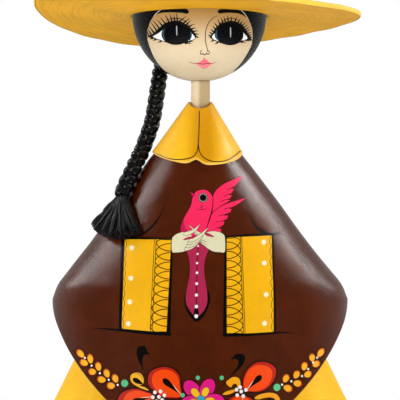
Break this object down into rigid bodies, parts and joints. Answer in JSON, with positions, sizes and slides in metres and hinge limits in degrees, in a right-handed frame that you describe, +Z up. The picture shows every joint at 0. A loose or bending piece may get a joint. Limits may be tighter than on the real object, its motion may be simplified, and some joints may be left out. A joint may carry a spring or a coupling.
{
  "type": "papier-mache lady figurine",
  "caption": "Standing doll-like lady figurine: cone skirt, wide cape, collar, ball head, broad-brimmed hat and one long plait, painted and varnished.",
  "frame": {"origin": "middle of the flat underside of the skirt, where the figurine stands", "axes": "+Z up, -Y the way the face looks, +X to the viewer's right"},
  "size_m": [0.27, 0.27, 0.3961],
  "materials": {
    "skirt": "yellow paint under gloss varnish on papier-mache",
    "cape": "dark brown paint under gloss varnish on papier-mache",
    "collar": "yellow paint under gloss varnish on card",
    "neck": "cream paint under gloss varnish",
    "head": "cream paint with painted face and hair under gloss varnish",
    "hat": "golden yellow paint under gloss varnish on papier-mache",
    "braid": "black plaited yarn stiffened with varnish"
  },
  "bodies": {
    "root": {"skirt": "skirt", "cape": "cape", "collar": "collar", "neck": "neck", "head": "head", "hat": "hat", "braid": "braid"}
  },
  "joints": []
}
